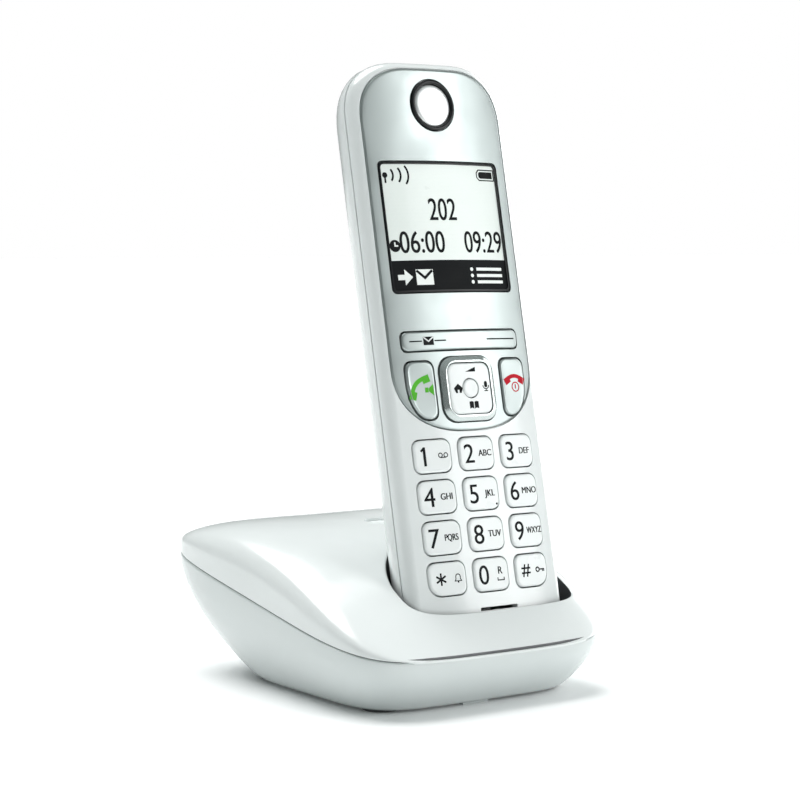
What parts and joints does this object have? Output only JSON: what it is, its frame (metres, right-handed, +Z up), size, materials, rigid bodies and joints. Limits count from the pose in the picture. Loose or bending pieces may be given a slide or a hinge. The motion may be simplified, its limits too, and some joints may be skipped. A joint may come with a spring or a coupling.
{
  "type": "cordless phone with base",
  "caption": "Cordless telephone handset with display, keypad and talk keys, standing at a lean in a domed white charging base with a page key and plug sockets.",
  "frame": {"origin": "centre of the bounding box footprint, at the bottom of the feet", "axes": "+Z up, -Y towards the user who faces the keypad, +X to that user's right; the handset leans back 12 degrees about X"},
  "size_m": [0.0834, 0.1054, 0.1637],
  "materials": {
    "white_gloss": "gloss",
    "key_white": "satin",
    "silver_satin": "satin metallic paint",
    "window": "clear gloss",
    "black_plastic": "matte",
    "rubber": "matte",
    "circuit_board": "semi-gloss",
    "plated_metal": "plated",
    "battery_sleeve": "printed sleeve"
  },
  "bodies": {
    "base": {"base_top": "white_gloss", "base_bottom": "white_gloss", "base_board": "circuit_board", "paging_switch": "black_plastic", "line_socket": "black_plastic", "power_socket": "black_plastic", "foot_front_left": "rubber", "foot_front_right": "rubber", "foot_rear_left": "rubber", "foot_rear_right": "rubber", "base_screw_left": "plated_metal", "base_screw_right": "plated_metal"},
    "handset": {"front_cover": "white_gloss", "faceplate": "silver_satin", "display_window": "window", "lcd_module": "black_plastic", "keypad_mat": "rubber", "handset_board": "circuit_board", "earpiece_ring": "black_plastic", "earpiece_disc": "silver_satin", "earpiece_speaker": "black_plastic", "microphone": "black_plastic", "loudspeaker": "black_plastic", "rear_housing": "white_gloss", "battery_left": "battery_sleeve", "battery_right": "battery_sleeve", "battery_spring_plate": "plated_metal", "battery_end_plate": "plated_metal", "handset_contact_left": "plated_metal", "handset_contact_right": "plated_metal", "handset_screw_left": "plated_metal", "handset_screw_right": "plated_metal"},
    "key_1": {"key_1": "key_white"},
    "key_2": {"key_2": "key_white"},
    "key_3": {"key_3": "key_white"},
    "key_4": {"key_4": "key_white"},
    "key_5": {"key_5": "key_white"},
    "key_6": {"key_6": "key_white"},
    "key_7": {"key_7": "key_white"},
    "key_8": {"key_8": "key_white"},
    "key_9": {"key_9": "key_white"},
    "key_star": {"key_star": "key_white"},
    "key_0": {"key_0": "key_white"},
    "key_hash": {"key_hash": "key_white"},
    "talk_key": {"talk_key": "silver_satin"},
    "end_key": {"end_key": "silver_satin"},
    "display_key_bar": {"display_key_bar": "silver_satin"},
    "nav_actuator": {"nav_actuator": "key_white"},
    "nav_key": {"nav_key": "key_white"},
    "select_key": {"select_key": "key_white"},
    "paging_key": {"paging_key": "white_gloss"},
    "battery_cover": {"battery_cover": "white_gloss"},
    "base_contact_left": {"base_contact_left": "plated_metal"},
    "base_contact_right": {"base_contact_right": "plated_metal"}
  },
  "joints": [
    {"name": "handset_lift", "type": "slide", "parent": "base", "child": "handset", "axis": [0, 0.2079, 0.9781], "range_m": [0, 0.06]},
    {"name": "key_1_press", "type": "slide", "parent": "handset", "child": "key_1", "axis": [0, 0.9781, -0.2079], "range_m": [0, 0.0008], "stiffness_N_per_m": 1200},
    {"name": "key_2_press", "type": "slide", "parent": "handset", "child": "key_2", "axis": [0, 0.9781, -0.2079], "range_m": [0, 0.0008], "stiffness_N_per_m": 1200},
    {"name": "key_3_press", "type": "slide", "parent": "handset", "child": "key_3", "axis": [0, 0.9781, -0.2079], "range_m": [0, 0.0008], "stiffness_N_per_m": 1200},
    {"name": "key_4_press", "type": "slide", "parent": "handset", "child": "key_4", "axis": [0, 0.9781, -0.2079], "range_m": [0, 0.0008], "stiffness_N_per_m": 1200},
    {"name": "key_5_press", "type": "slide", "parent": "handset", "child": "key_5", "axis": [0, 0.9781, -0.2079], "range_m": [0, 0.0008], "stiffness_N_per_m": 1200},
    {"name": "key_6_press", "type": "slide", "parent": "handset", "child": "key_6", "axis": [0, 0.9781, -0.2079], "range_m": [0, 0.0008], "stiffness_N_per_m": 1200},
    {"name": "key_7_press", "type": "slide", "parent": "handset", "child": "key_7", "axis": [0, 0.9781, -0.2079], "range_m": [0, 0.0008], "stiffness_N_per_m": 1200},
    {"name": "key_8_press", "type": "slide", "parent": "handset", "child": "key_8", "axis": [0, 0.9781, -0.2079], "range_m": [0, 0.0008], "stiffness_N_per_m": 1200},
    {"name": "key_9_press", "type": "slide", "parent": "handset", "child": "key_9", "axis": [0, 0.9781, -0.2079], "range_m": [0, 0.0008], "stiffness_N_per_m": 1200},
    {"name": "key_star_press", "type": "slide", "parent": "handset", "child": "key_star", "axis": [0, 0.9781, -0.2079], "range_m": [0, 0.0008], "stiffness_N_per_m": 1200},
    {"name": "key_0_press", "type": "slide", "parent": "handset", "child": "key_0", "axis": [0, 0.9781, -0.2079], "range_m": [0, 0.0008], "stiffness_N_per_m": 1200},
    {"name": "key_hash_press", "type": "slide", "parent": "handset", "child": "key_hash", "axis": [0, 0.9781, -0.2079], "range_m": [0, 0.0008], "stiffness_N_per_m": 1200},
    {"name": "talk_key_press", "type": "slide", "parent": "handset", "child": "talk_key", "axis": [0, 0.9781, -0.2079], "range_m": [0, 0.0008], "stiffness_N_per_m": 1200},
    {"name": "end_key_press", "type": "slide", "parent": "handset", "child": "end_key", "axis": [0, 0.9781, -0.2079], "range_m": [0, 0.0008], "stiffness_N_per_m": 1200},
    {"name": "display_bar_rock", "type": "hinge", "parent": "handset", "child": "display_key_bar", "pos_m": [0.0081, -0.02146, 0.09076], "axis": [0, 0.2079, 0.9781], "range_deg": [-1.5, 1.5], "stiffness_Nm_per_rad": 0.5},
    {"name": "nav_tilt_sideways", "type": "hinge", "parent": "handset", "child": "nav_actuator", "pos_m": [0.0081, -0.02361, 0.07802], "axis": [0, 0.2079, 0.9781], "range_deg": [-2, 2], "stiffness_Nm_per_rad": 0.3},
    {"name": "nav_tilt_up_down", "type": "hinge", "parent": "nav_actuator", "child": "nav_key", "pos_m": [0.0081, -0.02361, 0.07802], "axis": [1, 0, 0], "range_deg": [-2, 2], "stiffness_Nm_per_rad": 0.3},
    {"name": "select_key_press", "type": "slide", "parent": "nav_key", "child": "select_key", "axis": [0, 0.9781, -0.2079], "range_m": [0, 0.0008], "stiffness_N_per_m": 1200},
    {"name": "paging_key_press", "type": "slide", "parent": "base", "child": "paging_key", "axis": [0, 0, -1], "range_m": [0, 0.0008], "stiffness_N_per_m": 1200},
    {"name": "battery_cover_lift", "type": "slide", "parent": "handset", "child": "battery_cover", "axis": [0, 0.9781, -0.2079], "range_m": [0, 0.015]},
    {"name": "base_contact_left_spring", "type": "slide", "parent": "base", "child": "base_contact_left", "axis": [0, -0.2079, -0.9781], "range_m": [0, 0.0008], "stiffness_N_per_m": 600},
    {"name": "base_contact_right_spring", "type": "slide", "parent": "base", "child": "base_contact_right", "axis": [0, -0.2079, -0.9781], "range_m": [0, 0.0008], "stiffness_N_per_m": 600}
  ]
}
